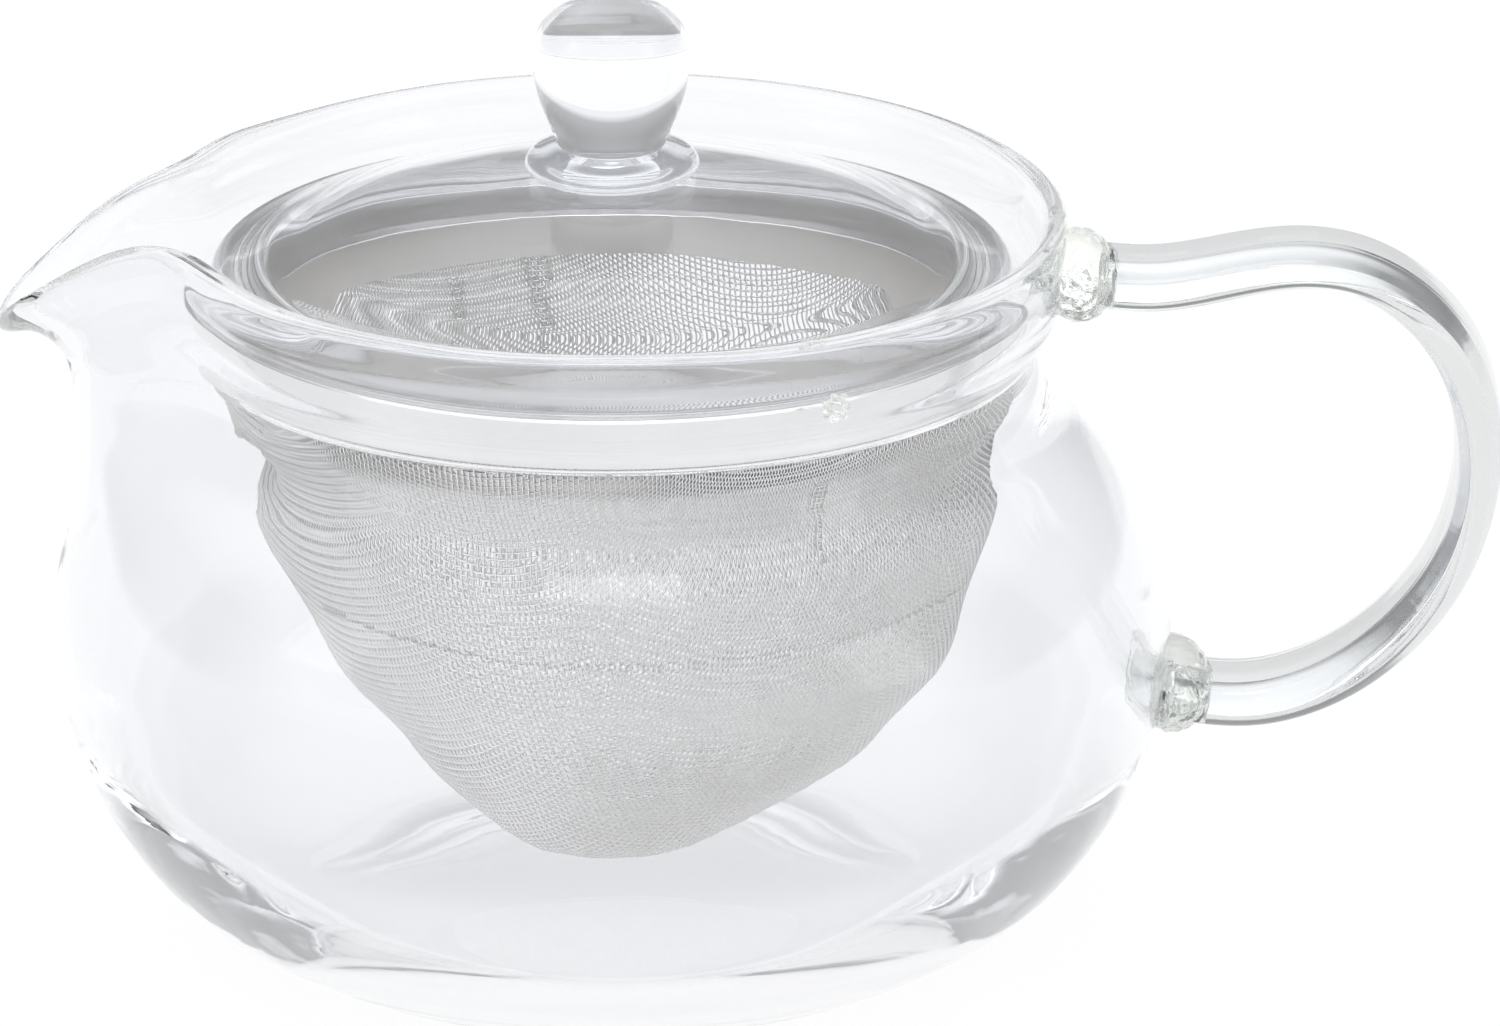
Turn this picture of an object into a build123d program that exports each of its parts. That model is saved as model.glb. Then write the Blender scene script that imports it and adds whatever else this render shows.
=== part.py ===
from build123d import *
import math
import os

os.makedirs("parts", exist_ok=True)

# A round glass teapot with a hanging wire-cloth infuser and a glass lid.
# Millimetres. Z is up, the base stands on z = 0 and the pot's axis is x = y = 0.
# The pouring lip points along -X and the handle along +X.

# Driving dimensions
wall = 2.0              # blown glass of the pot
floor_wall = 2.4        # glass at the base
base_r = 34.0           # flat ring that the pot stands on
belly_r = 59.9          # widest radius of the belly
belly_z = 36.0          # height of the widest radius
belly_drop = 45.2       # half height that the lower belly's curve would reach
belly_flat = 2.35       # squareness of the lower belly, against height
belly_round = 1.87      # squareness of the lower belly, against radius
neck_r = 45.0           # outside of the neck crease
neck_z = 66.0
rim_r = 48.5            # outside of the collar at the rim
rim_z = 80.1
shoulder_z = 44.0       # height where the drawn lip begins to leave the round belly
lip_sector = 66.0       # degrees each side of -X that the drawn lip disturbs
ledge_z = 67.0          # top of the inner ledge that the infuser hangs on
ledge_r = 42.0          # passage through the ledge
ledge_gap = 27.0        # degrees each side of -X where the ledge is left open
handle_thick = 5.5
handle_wide = 13.0
steel = 0.5             # sheet of the infuser's rim and band
hem_r = 43.1            # outside of the infuser's hem
hem_top = 71.9          # face that the lid sits on
band_r = 39.5           # outside of the infuser's inner band
band_low = 62.4
cloth = 0.5             # wire cloth over both wires
cloth_r = 40.05         # outside of the cloth where the band holds it
lid_r = 42.8
lid_wall = 2.2
skirt_r = 38.6
skirt_low = 67.7
knob_r = 8.4
foot_r = 9.4
lid_gap = 0.05          # air between the lid and the hem it rests on
lid_seat = hem_top + lid_gap
lid_edge = 2.9          # thickness of the lid's rounded edge ring
skirt_round = 1.0       # rounding at the foot of the skirt
slack = 0.05            # air between loose or folded sheets
mouth_tall = 20.0       # taller than any opening cut through the rim ring
weld_count = 12         # spot welds round the infuser's band
weld_r = 0.9
weld_z = 69.2

# Outside of the round wall above the shoulder, as (radius, height)
round_wall = [
    (58.5, shoulder_z), (56.7, 48.5), (54.2, 52.2), (51.1, 55.4), (48.0, 58.3), (45.9, 61.7),
    (neck_r, neck_z - 0.3), (46.5, 67.9), (47.7, 70.4), (48.1, 74.6), (rim_r, rim_z - 1.2),
]
# The same stations on the centre line of the drawn lip
lip_wall = [
    (58.5, shoulder_z), (57.9, 47.6), (57.6, 51.0), (57.5, 54.0), (57.5, 57.0), (57.6, 60.0),
    (57.9, 62.6), (58.8, 64.8), (60.2, 66.2), (62.2, 66.9), (64.4, 66.7),
]
# Degrees over which each station fades from the lip back to the round wall
fade_out = [24.0, 24.0, 23.0, 22.0, 20.5, 19.0, 17.0, 15.0, 13.5, 12.2, 11.1]
fade_down = [24.0, 24.0, 23.0, 21.0, 19.0, 17.0, 14.5, 12.0, 10.5, 9.0, 8.0]
section_turns = [0, 2.5, 5, 7.5, 10, 13, 16, 20, 25, 31, 38, 46, 56]
brow_rise = 1.0         # how far the rim lifts on each side of the lip
brow_turn = 25.0
brow_width = 13.0
bead_swell = 0.4        # extra glass in the fire-polished rim
handle_line = [
    (51.3, 73.0), (57.7, 72.6), (65.3, 73.8), (72.8, 74.9), (79.4, 74.0), (85.3, 70.6),
    (89.6, 65.5), (92.0, 59.3), (92.6, 53.6), (91.6, 46.3), (88.7, 39.3), (83.5, 32.8),
    (76.5, 27.9), (68.7, 25.6), (59.6, 26.3),
]
# Melted gathers that join the handle: centre as (x, z), half sizes, tilt in degrees
upper_gather = ((49.6, 73.0), (4.4, 8.6, 4.9), 0)
lower_gather = ((60.2, 26.6), (4.6, 8.4, 5.2), 8)
gather_slices = 3       # slices each side of a gather's middle
gather_end = 3.6        # where its last slice would close to a point
collar_bore = 46.6      # the upper gather stops inside the collar's wall here
belly_bore = 58.2       # and the lower one inside the belly's wall here
nub_place = (46.2, 72.3, -60.0)     # radius, height and heading of the pressed nub
nub_size = (1.9, 0.9, 2.4)          # its two radii and its length
# The cloth's outside from the band down to its lowest point, as (radius, height)
cloth_line = [
    (cloth_r, 70.6), (cloth_r, 62.0), (39.3, 58.6), (38.9, 55.0), (39.5, 51.0), (39.0, 47.5),
    (36.5, 41.0), (34.0, 36.0), (31.1, 31.0), (27.7, 26.0), (23.6, 21.0), (18.8, 16.3),
    (13.9, 12.4), (7.5, 9.2), (0.0, 8.0),
]


def fade(turn, width):
    # 1 on the lip's centre line, 0 at the edge of the sector
    edge = math.exp(-((lip_sector / width) ** 2))
    return (math.exp(-((turn / width) ** 2)) - edge) / (1 - edge)


def station(turn, k):
    # one point of the outer wall, "turn" degrees round from the lip's centre line
    (r0, z0), (r1, z1) = round_wall[k], lip_wall[k]
    high = k / (len(round_wall) - 1)
    brow = brow_rise * high ** 3 * math.exp(-(((turn - brow_turn) / brow_width) ** 2))
    if turn >= lip_sector:
        brow = 0.0
    r = r0 + (r1 - r0) * fade(turn, fade_out[k])
    z = z0 + (z1 - z0) * fade(turn, fade_down[k]) + brow * (1 - fade(turn, fade_down[k]))
    return r, z


def inward(points, k):
    # unit normal of a run of points at index k, on its left side
    a = points[max(k - 1, 0)]
    b = points[min(k + 1, len(points) - 1)]
    length = math.hypot(b[0] - a[0], b[1] - a[1])
    return -(b[1] - a[1]) / length, (b[0] - a[0]) / length


def lean(turn, k):
    # how far the outer wall slants across its radial plane, as a thickness factor
    if turn >= lip_sector:
        return 1.0
    step = 0.5
    low = max(turn - step, 0.0)
    rise = station(turn + step, k)[0] - station(low, k)[0]
    slope = rise / (math.radians(turn + step - low) * station(turn, k)[0])
    return min(math.sqrt(1 + slope * slope), 1.7)


def wall_section(turn):
    # outer and inner edges of the upper wall in one radial plane
    outer = [station(turn, k) for k in range(len(round_wall))]
    inner = []
    for k, (r, z) in enumerate(outer):
        thick = (wall + bead_swell * (k / (len(outer) - 1)) ** 4) * lean(turn, k)
        nx, nz = inward(outer, k)
        if k == 0:
            nx, nz = -1.0, 0.0
        inner.append((r + nx * thick, z + nz * thick))
    return outer, inner


def section_face(turn):
    # every section shares its spline parameters, so the loft through them stays smooth
    outer, inner = wall_section(turn)
    heading = math.radians(180 + turn)
    even = [k / (len(outer) - 1) for k in range(len(outer))]

    def put(point):
        return Vector(point[0] * math.cos(heading), point[0] * math.sin(heading), point[1])

    a, b = outer[-1], inner[-1]
    nx, nz = inward(outer, len(outer) - 1)
    half = math.hypot(a[0] - b[0], a[1] - b[1]) / 2
    crown = ((a[0] + b[0]) / 2 + nz * half, (a[1] + b[1]) / 2 - nx * half)
    edges = [
        Edge.make_spline([put(p) for p in outer], parameters=even),
        Edge.make_spline([put(a), put(crown), put(b)], parameters=[0, 0.5, 1]),
        Edge.make_spline([put(p) for p in reversed(inner)], parameters=even),
        Edge.make_line(put(inner[0]), put(outer[0])),
    ]
    return Face(Wire(edges))


def turned(points, closing):
    # solid of revolution: a spline through points, closed by straight closing points
    spline = Edge.make_spline([Vector(r, 0, z) for r, z in points])
    chain = [points[-1]] + closing + [points[0]]
    lines = [
        Edge.make_line((a[0], 0, a[1]), (b[0], 0, b[1]))
        for a, b in zip(chain[:-1], chain[1:])
    ]
    return revolve(Face(Wire([spline] + lines)), Axis.Z)


def belly_radius(z):
    part = 1 - abs((z - belly_z) / belly_drop) ** belly_flat
    return belly_r * part ** (1 / belly_round)


def lower_bowl():
    heights = [6.0, 12.0, 18.0, 24.0, 30.0, belly_z]
    outer = [(base_r, 0.0), (40.9, 2.2)] + [(belly_radius(z), z) for z in heights]
    outer += [(59.4, 40.5), round_wall[0]]
    inner = [(32.0, floor_wall), (38.4, 4.2), (44.4, 8.3), (50.2, 13.8), (54.0, 19.0)]
    inner += [(belly_radius(z) - wall, z) for z in (24.0, 30.0, belly_z)]
    inner += [(59.4 - wall, 40.5), (round_wall[0][0] - wall, shoulder_z)]
    body = turned(outer, [(0, shoulder_z), (0, 0)])
    hollow = turned(inner, [(0, shoulder_z), (0, floor_wall)])
    return body - hollow


def neck_ledge(first_turn, last_turn):
    # the inner fold of the crease, a shelf for the infuser, between two turns from the lip
    shelf = [(44.2, 62.6), (42.6, 64.6), (ledge_r, 66.0)]
    spline = Edge.make_spline([Vector(r, 0, z) for r, z in shelf])
    top = [shelf[-1], (ledge_r, ledge_z), (45.4, ledge_z), shelf[0]]
    lines = [Edge.make_line((a[0], 0, a[1]), (b[0], 0, b[1])) for a, b in zip(top[:-1], top[1:])]
    face = Face(Wire([spline] + lines)).rotate(Axis.Z, 180 + first_turn)
    return Solid.revolve(face, last_turn - first_turn, Axis.Z)


def pot_bowl():
    return lower_bowl().solid()


def pot_collar():
    # the round part of the shoulder, neck and collar, open where the lip is drawn out
    sweep_end = 360 - lip_sector
    collar = Solid.revolve(section_face(lip_sector), sweep_end - lip_sector, Axis.Z)
    return collar.fuse(neck_ledge(lip_sector, sweep_end))


def pouring_lip():
    # two mirrored halves that meet on the lip's centre line
    near = loft([section_face(turn) for turn in section_turns + [lip_sector]]).solid()
    near = near.fuse(neck_ledge(ledge_gap, lip_sector))
    far = near.mirror(Plane.XZ)
    return near.fuse(far, tol=0.002)


def handle_loop():
    path = Edge.make_spline([Vector(x, 0, z) for x, z in handle_line])
    start = Plane(origin=path @ 0, x_dir=(0, 1, 0), z_dir=path % 0)
    outline = start * RectangleRounded(handle_wide, handle_thick, 2.5)
    return sweep(outline, path=path)


def gather(centre, radii, tilt):
    # squashed ball, turned from a half ellipse and stretched across
    x, z = centre
    reach, across, tall = radii
    ring = []
    for k in range(-gather_slices, gather_slices + 1):
        off = k / gather_end
        size = math.sqrt(1 - off * off)
        plane = Plane(origin=(off * reach, 0, 0), x_dir=(0, 1, 0), z_dir=(1, 0, 0))
        ring.append(plane * Ellipse(across * size, tall * size))
    shape = loft(ring)
    return Pos(x, 0, z) * Rot(0, tilt, 0) * shape


def handle_upper_weld():
    return gather(*upper_gather) - post(60, collar_bore, 40)


def handle_lower_weld():
    return gather(*lower_gather) - Pos(0, 0, belly_z) * Sphere(belly_bore)


def post(low, radius, tall):
    return Pos(0, 0, low) * Cylinder(radius, tall, align=(Align.CENTER, Align.CENTER, Align.MIN))


def lid_stop_nub():
    # small pressed nub inside the collar, clear of the lid
    place_r, place_z, heading = nub_place
    nub = Pos(place_r, 0, place_z) * Rot(0, 90, 0) * Cone(*nub_size)
    return nub.rotate(Axis.Z, heading)


def infuser_rim():
    # pressed ring: flat top, outer hem down to the ledge, short inner leg
    low = ledge_z + slack
    tall = hem_top - low
    leg_r = cloth_r + slack
    channel = post(low, hem_r - steel, tall - steel) - post(low, leg_r + steel, mouth_tall)
    pocket = post(low, leg_r, tall - steel)
    mouth = post(low, band_r + slack, mouth_tall)
    ring = post(low, hem_r, tall) - channel - pocket - mouth
    corner = ring.edges().filter_by(GeomType.CIRCLE).sort_by(Axis.Z)[-2:].sort_by(SortBy.RADIUS)[-1]
    return fillet(corner, 0.9 * steel)


def infuser_band():
    tall = hem_top - band_low
    return post(band_low, band_r, tall) - post(band_low, band_r - steel, tall)


def mesh_basket():
    outer = cloth_line
    inner = []
    for k in range(len(outer)):
        nx, nz = inward(outer, k)
        inner.append((outer[k][0] + nx * -cloth, outer[k][1] + nz * -cloth))
    inner[0] = (cloth_r - cloth, outer[0][1])
    inner[1] = (cloth_r - cloth, outer[1][1])
    inner[-1] = (0.0, outer[-1][1] + cloth)
    # straight cylinder first, then the drawn bowl
    edges = []
    for run in (outer, inner):
        edges.append(Edge.make_line((run[0][0], 0, run[0][1]), (run[1][0], 0, run[1][1])))
        points = [Vector(r, 0, z) for r, z in run[1:]]
        edges.append(Edge.make_spline(points, tangents=[(0, 0, -1), (-1, 0, 0)]))
    edges.append(Edge.make_line((outer[0][0], 0, outer[0][1]), (inner[0][0], 0, inner[0][1])))
    edges.append(Edge.make_line((0, 0, outer[-1][1]), (0, 0, inner[-1][1])))
    return revolve(Face(Wire(edges)), Axis.Z)


def band_spot_welds():
    outside = cloth_r + slack + steel
    inside = band_r - steel
    nugget = Pos((inside + outside) / 2, 0, weld_z) * Rot(0, 90, 0) * Cylinder(weld_r, outside - inside)
    return Compound([nugget.rotate(Axis.Z, k * 360 / weld_count) for k in range(weld_count)])


def at(points):
    return [Vector(r, 0, z) for r, z in points]


def lid_dome():
    crown = 84.9
    edge_r = lid_r - 1.0
    inner_r = skirt_r - lid_wall
    foot = skirt_low + skirt_round
    top = [(edge_r, lid_seat + lid_edge), (36.0, 77.0), (26.0, 80.6), (14.0, 83.6), (0.0, crown)]
    under = [(0.0, crown - lid_wall), (14.0, 81.3), (26.0, 78.2), (35.4, 74.6)]
    skirt = [under[-1], (inner_r, 72.4), (inner_r, foot)]
    edges = [
        Edge.make_spline(at(top), tangents=[(-0.9, 0, 0.42), (-1, 0, 0)]),
        Edge.make_line(*at([top[-1], under[0]])),
        Edge.make_spline(at(under), tangents=[(1, 0, 0), (0.5, 0, -0.86)]),
        Edge.make_line(*at(skirt[:2])),
        Edge.make_line(*at(skirt[1:])),
        Edge.make_three_point_arc(*at([skirt[-1], (skirt_r - lid_wall / 2, skirt_low), (skirt_r, foot)])),
        Edge.make_line(*at([(skirt_r, foot), (skirt_r, lid_seat)])),
        Edge.make_line(*at([(skirt_r, lid_seat), (edge_r, lid_seat)])),
        Edge.make_three_point_arc(*at([(edge_r, lid_seat), (lid_r, lid_seat + lid_edge / 2), top[0]])),
    ]
    return revolve(Face(Wire(edges)), Axis.Z)


def lid_knob_foot():
    # ring of melted glass on the crown of the dome
    ring = [(0.0, 84.7), (7.2, 84.4), (foot_r - 0.5, 84.7), (foot_r, 85.7), (8.3, 86.9), (6.4, 87.5)]
    ring.append((0.0, 87.7))
    return turned(ring, [])


def lid_knob():
    shape = [(0.0, 87.0), (5.6, 87.2), (6.1, 88.4), (7.1, 91.0), (8.1, 94.3), (knob_r, 97.6)]
    shape += [(7.7, 100.6), (5.0, 102.9), (0.0, 103.6)]
    return turned(shape, [])


pieces = {
    "pot_bowl": pot_bowl,
    "pot_collar": pot_collar,
    "pouring_lip": pouring_lip,
    "handle_loop": handle_loop,
    "handle_upper_weld": handle_upper_weld,
    "handle_lower_weld": handle_lower_weld,
    "lid_stop_nub": lid_stop_nub,
    "infuser_rim": infuser_rim,
    "infuser_band": infuser_band,
    "band_spot_welds": band_spot_welds,
    "mesh_basket": mesh_basket,
    "lid_dome": lid_dome,
    "lid_knob_foot": lid_knob_foot,
    "lid_knob": lid_knob,
}
for name, make in pieces.items():
    shape = make()
    print(name, "valid", shape.is_valid, "solids", len(shape.solids()), "volume", round(shape.volume, 1))
    export_step(shape, "parts/" + name + ".step")
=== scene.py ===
import math

import bmesh
import bpy
import numpy as np
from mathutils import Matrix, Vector, noise


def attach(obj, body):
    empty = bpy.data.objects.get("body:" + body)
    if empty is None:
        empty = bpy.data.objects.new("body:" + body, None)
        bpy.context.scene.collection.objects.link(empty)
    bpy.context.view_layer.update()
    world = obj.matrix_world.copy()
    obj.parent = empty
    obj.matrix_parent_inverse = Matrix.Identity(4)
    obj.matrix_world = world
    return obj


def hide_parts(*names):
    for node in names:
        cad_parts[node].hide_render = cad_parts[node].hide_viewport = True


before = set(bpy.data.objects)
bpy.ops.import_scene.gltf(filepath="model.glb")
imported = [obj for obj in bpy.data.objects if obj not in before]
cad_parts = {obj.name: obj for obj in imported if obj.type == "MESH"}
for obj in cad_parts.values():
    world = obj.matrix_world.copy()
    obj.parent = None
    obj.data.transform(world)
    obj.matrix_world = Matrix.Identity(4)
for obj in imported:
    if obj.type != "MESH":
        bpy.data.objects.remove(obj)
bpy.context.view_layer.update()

mm = 0.001
tiny = 1e-6
nearAxis = 0.5               # millimetres; closer in, nothing is pushed about


def smoothRun(points, steps):
    # one even curve through the points; a stack of profiles is done in one go
    pts = np.asarray(points, float)
    single = pts.ndim == 2
    if single:
        pts = pts[None]
    gaps = np.linalg.norm(np.diff(pts, axis=1), axis=2)
    count = pts.shape[1]
    system = np.zeros((len(pts), count, count))
    right = np.zeros_like(pts)
    system[:, 0, 0] = 1
    system[:, -1, -1] = 1
    for k in range(1, count - 1):
        before, after = gaps[:, k - 1], gaps[:, k]
        system[:, k, k - 1] = before
        system[:, k, k] = 2 * (before + after)
        system[:, k, k + 1] = after
        right[:, k] = 6 * ((pts[:, k + 1] - pts[:, k]) / after[:, None]
                           - (pts[:, k] - pts[:, k - 1]) / before[:, None])
    bend = np.linalg.solve(system, right)
    reach = gaps[:, :, None] ** 2 / 6
    rows = []
    for t in np.linspace(0, 1, steps, endpoint=False):
        s = 1 - t
        straight = pts[:, :-1] * s + pts[:, 1:] * t
        rows.append(straight + reach * ((s ** 3 - s) * bend[:, :-1] + (t ** 3 - t) * bend[:, 1:]))
    flow = np.stack(rows, axis=2).reshape(len(pts), -1, pts.shape[2])
    flow = np.concatenate([flow, pts[:, -1:]], axis=1)
    return flow[0] if single else flow


def meshObject(name, verts, faces, material, body, replaced=()):
    mesh = bpy.data.meshes.new(name)
    mesh.from_pydata(np.asarray(verts).tolist(), [], faces)
    mesh.validate()
    shell = bmesh.new()
    shell.from_mesh(mesh)
    bmesh.ops.recalc_face_normals(shell, faces=shell.faces)
    shell.to_mesh(mesh)
    shell.free()
    mesh.polygons.foreach_set("use_smooth", [True] * len(mesh.polygons))
    obj = bpy.data.objects.new(name, mesh)
    bpy.context.scene.collection.objects.link(obj)
    obj.data.materials.append(material)
    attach(obj, body)
    if replaced:
        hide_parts(*replaced)
    print("made", name, len(mesh.vertices), "points")
    return obj


def waver(waves, heading, height):
    # slow unevenness of hand work; each wave is (size, waves in one turn, climb with height, start)
    return sum(size * np.sin(turns * heading + climb * height + start)
               for size, turns, climb, start in waves)


def spin(profile, columns, ripple=None):
    # profile is (radius, height) in millimetres, one for all headings or one per heading
    # it either starts and ends on the axis, or closes on itself
    prof = np.asarray(profile, float)
    if prof.ndim == 2:
        prof = np.repeat(prof[None], columns, axis=0)
    heading = np.linspace(0, 2 * math.pi, columns, endpoint=False)
    radius, height = prof[..., 0].copy(), prof[..., 1]
    if ripple is not None:
        radius = radius + ripple(heading[:, None], height) * (radius > nearAxis)
    x = radius * np.cos(heading)[:, None]
    y = radius * np.sin(heading)[:, None]
    points = np.stack([x, y, height], axis=2) * mm
    rows = points.shape[1]
    onAxis = prof[0, 0, 0] < tiny and prof[0, -1, 0] < tiny
    faces = []
    if onAxis:
        inner = points[:, 1:-1].reshape(-1, 3)
        verts = np.concatenate([inner, points[:1, 0], points[:1, -1]])
        start, end, span = len(inner), len(inner) + 1, rows - 2
        for c in range(columns):
            here, there = c * span, (c + 1) % columns * span
            faces.append((start, here, there))
            faces.append((end, there + span - 1, here + span - 1))
            for k in range(span - 1):
                faces.append((here + k, here + k + 1, there + k + 1, there + k))
    else:
        verts = points.reshape(-1, 3)
        for c in range(columns):
            here, there = c * rows, (c + 1) % columns * rows
            for k in range(rows):
                after = (k + 1) % rows
                faces.append((here + k, here + after, there + after, there + k))
    return verts, faces


def groupStart(name, inputs, outputs):
    group = bpy.data.node_groups.new(name, "ShaderNodeTree")
    for label, kind, value in inputs:
        socket = group.interface.new_socket(name=label, in_out="INPUT", socket_type=kind)
        socket.default_value = value
    for label, kind in outputs:
        group.interface.new_socket(name=label, in_out="OUTPUT", socket_type=kind)
    return group, group.nodes.new("NodeGroupInput"), group.nodes.new("NodeGroupOutput")


def addNode(tree, kind, **values):
    node = tree.nodes.new(kind)
    for key, value in values.items():
        setattr(node, key, value)
    return node


flow = dict(waveDetail=1.5, cordDetail=2.0, cordStretch=(1.0, 1.0, 3.5), cordShare=0.18)


def buildGlassFlow():
    # slow thickness waves and faint colour drift of hand-blown glass
    group, inn, out = groupStart(
        "glassFlow",
        [("Clear Color", "NodeSocketColor", (1, 1, 1, 1)),
         ("Thick Color", "NodeSocketColor", (1, 1, 1, 1)),
         ("Wave Scale", "NodeSocketFloat", 20.0), ("Cord Scale", "NodeSocketFloat", 60.0)],
        [("Color", "NodeSocketColor"), ("Height", "NodeSocketFloat")])
    link = group.links.new
    place = addNode(group, "ShaderNodeTexCoord")
    waves = addNode(group, "ShaderNodeTexNoise")
    waves.inputs["Detail"].default_value = flow["waveDetail"]
    link(place.outputs["Object"], waves.inputs["Vector"])
    link(inn.outputs["Wave Scale"], waves.inputs["Scale"])
    stretch = addNode(group, "ShaderNodeMapping")
    stretch.inputs["Scale"].default_value = flow["cordStretch"]
    link(place.outputs["Object"], stretch.inputs["Vector"])
    cords = addNode(group, "ShaderNodeTexNoise")
    cords.inputs["Detail"].default_value = flow["cordDetail"]
    link(stretch.outputs["Vector"], cords.inputs["Vector"])
    link(inn.outputs["Cord Scale"], cords.inputs["Scale"])
    soft = addNode(group, "ShaderNodeMath", operation="MULTIPLY_ADD")
    link(cords.outputs["Fac"], soft.inputs[0])
    soft.inputs[1].default_value = flow["cordShare"]
    link(waves.outputs["Fac"], soft.inputs[2])
    link(soft.outputs[0], out.inputs["Height"])
    mix = addNode(group, "ShaderNodeMix", data_type="RGBA")
    link(waves.outputs["Fac"], mix.inputs["Factor"])
    link(inn.outputs["Clear Color"], mix.inputs["A"])
    link(inn.outputs["Thick Color"], mix.inputs["B"])
    link(mix.outputs["Result"], out.inputs["Color"])
    return group


steel = dict(squeeze=(0.04, 0.04, 1.0), streakDetail=4.0, markScale=90.0, markDetail=3.0,
             reach=0.0002)


def buildSteelGrain():
    # drawn or brushed steel: streaks along the sheet and patches of duller metal
    group, inn, out = groupStart(
        "steelGrain",
        [("Bright Color", "NodeSocketColor", (0.8, 0.8, 0.8, 1)),
         ("Dull Color", "NodeSocketColor", (0.6, 0.6, 0.6, 1)),
         ("Streak Scale", "NodeSocketFloat", 900.0), ("Low Roughness", "NodeSocketFloat", 0.2),
         ("High Roughness", "NodeSocketFloat", 0.4)],
        [("Color", "NodeSocketColor"), ("Roughness", "NodeSocketFloat"),
         ("Height", "NodeSocketFloat")])
    link = group.links.new
    place = addNode(group, "ShaderNodeTexCoord")
    squeeze = addNode(group, "ShaderNodeMapping")
    squeeze.inputs["Scale"].default_value = steel["squeeze"]
    link(place.outputs["Object"], squeeze.inputs["Vector"])
    streaks = addNode(group, "ShaderNodeTexNoise")
    streaks.inputs["Detail"].default_value = steel["streakDetail"]
    link(squeeze.outputs["Vector"], streaks.inputs["Vector"])
    link(inn.outputs["Streak Scale"], streaks.inputs["Scale"])
    marks = addNode(group, "ShaderNodeTexNoise")
    marks.inputs["Scale"].default_value = steel["markScale"]
    marks.inputs["Detail"].default_value = steel["markDetail"]
    link(place.outputs["Object"], marks.inputs["Vector"])
    mix = addNode(group, "ShaderNodeMix", data_type="RGBA")
    link(marks.outputs["Fac"], mix.inputs["Factor"])
    link(inn.outputs["Bright Color"], mix.inputs["A"])
    link(inn.outputs["Dull Color"], mix.inputs["B"])
    link(mix.outputs["Result"], out.inputs["Color"])
    spread = addNode(group, "ShaderNodeMapRange")
    link(streaks.outputs["Fac"], spread.inputs["Value"])
    link(inn.outputs["Low Roughness"], spread.inputs["To Min"])
    link(inn.outputs["High Roughness"], spread.inputs["To Max"])
    link(spread.outputs["Result"], out.inputs["Roughness"])
    link(streaks.outputs["Fac"], out.inputs["Height"])
    return group


glassFlow = buildGlassFlow()
steelGrain = buildSteelGrain()

glassLooks = {
    "clearGlass": dict(
        clear=(0.952, 0.957, 0.971), thick=(0.938, 0.945, 0.960),
        waves=22.0, cords=70.0, bump=0.05, reach=0.0010, ior=1.47),
    "meltedGlass": dict(
        clear=(0.975, 0.982, 0.955), thick=(0.945, 0.962, 0.905),
        waves=160.0, cords=420.0, bump=0.14, reach=0.0006, ior=1.48),
    "handleGlass": dict(
        clear=(0.790, 0.800, 0.806), thick=(0.730, 0.742, 0.742),
        waves=60.0, cords=160.0, bump=0.10, reach=0.0008, ior=1.47),
}
steelLooks = {
    "polishedSteel": dict(
        bright=(0.90, 0.90, 0.89), dull=(0.80, 0.80, 0.78),
        streaks=700.0, low=0.10, high=0.24, bump=0.05),
    "satinSteel": dict(
        bright=(0.95, 0.93, 0.90), dull=(0.85, 0.82, 0.79),
        streaks=1400.0, low=0.34, high=0.58, bump=0.15),
    "wireSteel": dict(
        bright=(0.99, 0.98, 0.965), dull=(0.94, 0.93, 0.915),
        streaks=2600.0, low=0.24, high=0.46, bump=0.10),
}


def startMaterial(name, group):
    mat = bpy.data.materials.new(name)
    mat.use_nodes = True
    tree = mat.node_tree
    shader = tree.nodes["Principled BSDF"]
    grain = addNode(tree, "ShaderNodeGroup", node_tree=group)
    bump = addNode(tree, "ShaderNodeBump")
    tree.links.new(grain.outputs["Color"], shader.inputs["Base Color"])
    tree.links.new(grain.outputs["Height"], bump.inputs["Height"])
    tree.links.new(bump.outputs["Normal"], shader.inputs["Normal"])
    return mat, shader, grain, bump


def makeGlass(name, look):
    mat, shader, grain, bump = startMaterial(name, glassFlow)
    grain.inputs["Clear Color"].default_value = (*look["clear"], 1)
    grain.inputs["Thick Color"].default_value = (*look["thick"], 1)
    grain.inputs["Wave Scale"].default_value = look["waves"]
    grain.inputs["Cord Scale"].default_value = look["cords"]
    bump.inputs["Strength"].default_value = look["bump"]
    bump.inputs["Distance"].default_value = look["reach"]
    shader.inputs["Metallic"].default_value = 0.0
    shader.inputs["Roughness"].default_value = 0.0
    shader.inputs["IOR"].default_value = look["ior"]
    shader.inputs["Transmission Weight"].default_value = 1.0
    return mat


def makeSteel(name, look):
    mat, shader, grain, bump = startMaterial(name, steelGrain)
    grain.inputs["Bright Color"].default_value = (*look["bright"], 1)
    grain.inputs["Dull Color"].default_value = (*look["dull"], 1)
    grain.inputs["Streak Scale"].default_value = look["streaks"]
    grain.inputs["Low Roughness"].default_value = look["low"]
    grain.inputs["High Roughness"].default_value = look["high"]
    bump.inputs["Strength"].default_value = look["bump"]
    bump.inputs["Distance"].default_value = steel["reach"]
    shader.inputs["Metallic"].default_value = 1.0
    mat.node_tree.links.new(grain.outputs["Roughness"], shader.inputs["Roughness"])
    return mat


clearGlass = makeGlass("clearGlass", glassLooks["clearGlass"])
meltedGlass = makeGlass("meltedGlass", glassLooks["meltedGlass"])
handleGlass = makeGlass("handleGlass", glassLooks["handleGlass"])
polishedSteel = makeSteel("polishedSteel", steelLooks["polishedSteel"])
satinSteel = makeSteel("satinSteel", steelLooks["satinSteel"])
wireSteel = makeSteel("wireSteel", steelLooks["wireSteel"])
print("materials ready")


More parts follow.
